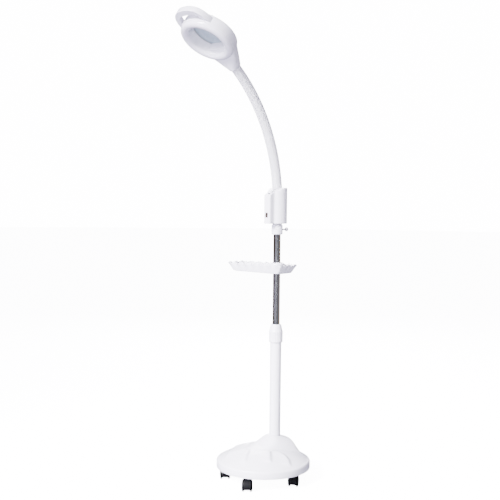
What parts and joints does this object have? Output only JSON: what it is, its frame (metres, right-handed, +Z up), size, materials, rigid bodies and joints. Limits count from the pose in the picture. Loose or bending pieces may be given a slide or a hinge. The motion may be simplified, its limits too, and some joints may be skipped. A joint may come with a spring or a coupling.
{
  "type": "magnifying lamp",
  "caption": "Rolling floor magnifier: round five-caster foot, telescopic column, clip-on tray, control housing, gooseneck and ring head with a lens and finger loop.",
  "frame": {"origin": "on the floor, under the axis of the column", "axes": "+Z up along the column; -Y is the user's side, over which the gooseneck and head lean; +X is to the right of a user who faces the lamp from -Y"},
  "size_m": [0.3476, 0.5455, 1.5431],
  "materials": {
    "white_moulding": "glossy white moulded plastic",
    "foot_underside": "plain moulded base plate",
    "ballast": "as cast",
    "fastener_steel": "bright zinc",
    "white_tube": "white powder coat",
    "chrome_plate": "polished",
    "grey_moulding": "plain",
    "knob_plastic": "pale",
    "black_moulding": "black caster wheel",
    "hood_moulding": "dark grey caster hood",
    "switch_moulding": "dark brown rocker",
    "neck_sleeve": "ribbed soft plastic sleeve",
    "shroud_moulding": "glossy milky plastic",
    "lens_glass": "ground and polished",
    "board": "circuit board"
  },
  "bodies": {
    "foot": {"base_cover": "white_moulding", "base_plate": "foot_underside", "base_weight": "ballast", "base_screws": "fastener_steel", "pole_socket": "fastener_steel", "socket_bolts": "fastener_steel", "lower_tube": "white_tube", "collet": "grey_moulding"},
    "twist_lock": {"twist_collar": "white_moulding"},
    "column": {"chrome_tube": "chrome_plate", "tube_bush": "grey_moulding"},
    "tray_carrier": {"tray_ring": "white_moulding"},
    "tray": {"tray": "white_moulding"},
    "lamp": {"lamp_collar": "white_moulding", "housing_front": "white_moulding", "housing_back": "white_moulding", "housing_screws": "fastener_steel", "driver_board": "board", "switch_bezel": "switch_moulding", "ferrule_lower": "neck_sleeve"},
    "thumb": {"thumb_screw": "fastener_steel", "thumb_knob": "knob_plastic"},
    "button": {"push_button": "white_moulding"},
    "rocker": {"rocker_switch": "switch_moulding"},
    "neck_1": {"link_1": "neck_sleeve"},
    "neck_2": {"link_2": "neck_sleeve"},
    "neck_3": {"link_3": "neck_sleeve"},
    "neck_4": {"link_4": "neck_sleeve"},
    "neck_5": {"link_5": "neck_sleeve"},
    "neck_6": {"link_6": "neck_sleeve"},
    "neck_7": {"link_7": "neck_sleeve"},
    "head": {"ferrule_upper": "grey_moulding", "head_cover": "white_moulding", "shroud": "shroud_moulding", "lens": "lens_glass", "lens_ring": "grey_moulding", "led_ring": "board", "head_screws": "fastener_steel"},
    "caster_1": {"caster_stem_1": "fastener_steel", "caster_hood_1": "hood_moulding"},
    "wheels_1": {"caster_axle_1": "fastener_steel", "caster_wheels_1": "black_moulding"},
    "caster_2": {"caster_stem_2": "fastener_steel", "caster_hood_2": "hood_moulding"},
    "wheels_2": {"caster_axle_2": "fastener_steel", "caster_wheels_2": "black_moulding"},
    "caster_3": {"caster_stem_3": "fastener_steel", "caster_hood_3": "hood_moulding"},
    "wheels_3": {"caster_axle_3": "fastener_steel", "caster_wheels_3": "black_moulding"},
    "caster_4": {"caster_stem_4": "fastener_steel", "caster_hood_4": "hood_moulding"},
    "wheels_4": {"caster_axle_4": "fastener_steel", "caster_wheels_4": "black_moulding"},
    "caster_5": {"caster_stem_5": "fastener_steel", "caster_hood_5": "hood_moulding"},
    "wheels_5": {"caster_axle_5": "fastener_steel", "caster_wheels_5": "black_moulding"}
  },
  "joints": [
    {"name": "twist_lock_turn", "type": "hinge", "parent": "foot", "child": "twist_lock", "pos_m": [0, 0, 0.5], "axis": [0, 0, 1], "range_deg": [0, 120]},
    {"name": "column_slide", "type": "slide", "parent": "foot", "child": "column", "axis": [0, 0, 1], "range_m": [-0.12, 0.14]},
    {"name": "tray_slide", "type": "slide", "parent": "column", "child": "tray_carrier", "axis": [0, 0, 1], "range_m": [-0.05, 0.085]},
    {"name": "tray_turn", "type": "hinge", "parent": "tray_carrier", "child": "tray", "pos_m": [0, 0, 0.72], "axis": [0, 0, 1], "range_deg": [-180, 180]},
    {"name": "lamp_turn", "type": "hinge", "parent": "column", "child": "lamp", "pos_m": [0, 0, 0.86], "axis": [0, 0, 1], "range_deg": [-180, 180]},
    {"name": "thumb_screw_turn", "type": "hinge", "parent": "lamp", "child": "thumb", "pos_m": [0, 0.03, 0.8575], "axis": [0, 1, 0], "continuous": true},
    {"name": "button_press", "type": "slide", "parent": "lamp", "child": "button", "axis": [0, 0.4695, -0.8829], "range_m": [0, 0.0025], "stiffness_N_per_m": 400, "springref_m": -0.001},
    {"name": "rocker_tilt", "type": "hinge", "parent": "lamp", "child": "rocker", "pos_m": [0, -0.048, 0.907], "axis": [1, 0, 0], "range_deg": [0, 16]},
    {"name": "neck_side_1", "type": "hinge", "parent": "lamp", "child": "neck_1", "pos_m": [0, -0.00283, 1.00301], "axis": [0, 0.9951, 0.0991], "range_deg": [-15, 15]},
    {"name": "neck_bend_1", "type": "hinge", "parent": "neck_1", "child": "neck_2", "pos_m": [0, -0.0121, 1.06336], "axis": [1, 0, 0], "range_deg": [-12, 18]},
    {"name": "neck_side_2", "type": "hinge", "parent": "neck_2", "child": "neck_3", "pos_m": [0, -0.02772, 1.12239], "axis": [0, 0.9518, 0.3068], "range_deg": [-15, 15]},
    {"name": "neck_bend_2", "type": "hinge", "parent": "neck_3", "child": "neck_4", "pos_m": [0, -0.04951, 1.17943], "axis": [1, 0, 0], "range_deg": [-12, 18]},
    {"name": "neck_side_3", "type": "hinge", "parent": "neck_4", "child": "neck_5", "pos_m": [0, -0.07723, 1.23384], "axis": [0, 0.8657, 0.5006], "range_deg": [-15, 15]},
    {"name": "neck_bend_3", "type": "hinge", "parent": "neck_5", "child": "neck_6", "pos_m": [0, -0.11056, 1.285], "axis": [1, 0, 0], "range_deg": [-12, 18]},
    {"name": "neck_side_4", "type": "hinge", "parent": "neck_6", "child": "neck_7", "pos_m": [0, -0.14912, 1.33234], "axis": [0, 0.7407, 0.6719], "range_deg": [-15, 15]},
    {"name": "neck_bend_4", "type": "hinge", "parent": "neck_7", "child": "head", "pos_m": [0, -0.19249, 1.37532], "axis": [1, 0, 0], "range_deg": [-12, 18]},
    {"name": "caster_1_swivel", "type": "hinge", "parent": "foot", "child": "caster_1", "pos_m": [-0.11009, -0.13098, 0.05], "axis": [0, 0, 1], "continuous": true},
    {"name": "caster_1_roll", "type": "hinge", "parent": "caster_1", "child": "wheels_1", "pos_m": [-0.10013, -0.13934, 0.02], "axis": [0.6428, 0.766, 0], "continuous": true},
    {"name": "caster_2_swivel", "type": "hinge", "parent": "foot", "child": "caster_2", "pos_m": [0.04048, -0.16853, 0.05], "axis": [0, 0, 1], "continuous": true},
    {"name": "caster_2_roll", "type": "hinge", "parent": "caster_2", "child": "wheels_2", "pos_m": [0.04951, -0.17788, 0.02], "axis": [0.7193, 0.6947, 0], "continuous": true},
    {"name": "caster_3_swivel", "type": "hinge", "parent": "foot", "child": "caster_3", "pos_m": [0.12271, -0.03693, 0.05], "axis": [0, 0, 1], "continuous": true},
    {"name": "caster_3_roll", "type": "hinge", "parent": "caster_3", "child": "wheels_3", "pos_m": [0.11544, -0.02615, 0.02], "axis": [-0.829, -0.5592, 0], "continuous": true},
    {"name": "caster_4_swivel", "type": "hinge", "parent": "foot", "child": "caster_4", "pos_m": [0.02297, 0.08194, 0.05], "axis": [0, 0, 1], "continuous": true},
    {"name": "caster_4_roll", "type": "hinge", "parent": "caster_4", "child": "wheels_4", "pos_m": [0.02741, 0.09416, 0.02], "axis": [-0.9397, 0.342, 0], "continuous": true},
    {"name": "caster_5_swivel", "type": "hinge", "parent": "foot", "child": "caster_5", "pos_m": [-0.12091, 0.02381, 0.05], "axis": [0, 0, 1], "continuous": true},
    {"name": "caster_5_roll", "type": "hinge", "parent": "caster_5", "child": "wheels_5", "pos_m": [-0.12317, 0.03662, 0.02], "axis": [-0.9848, -0.1736, 0], "continuous": true}
  ],
  "couplings": [
    {"joint": "neck_side_2", "follows": "neck_side_1", "ratio": 1},
    {"joint": "neck_bend_2", "follows": "neck_bend_1", "ratio": 1},
    {"joint": "neck_side_3", "follows": "neck_side_1", "ratio": 1},
    {"joint": "neck_bend_3", "follows": "neck_bend_1", "ratio": 1},
    {"joint": "neck_side_4", "follows": "neck_side_1", "ratio": 1},
    {"joint": "neck_bend_4", "follows": "neck_bend_1", "ratio": 1}
  ]
}
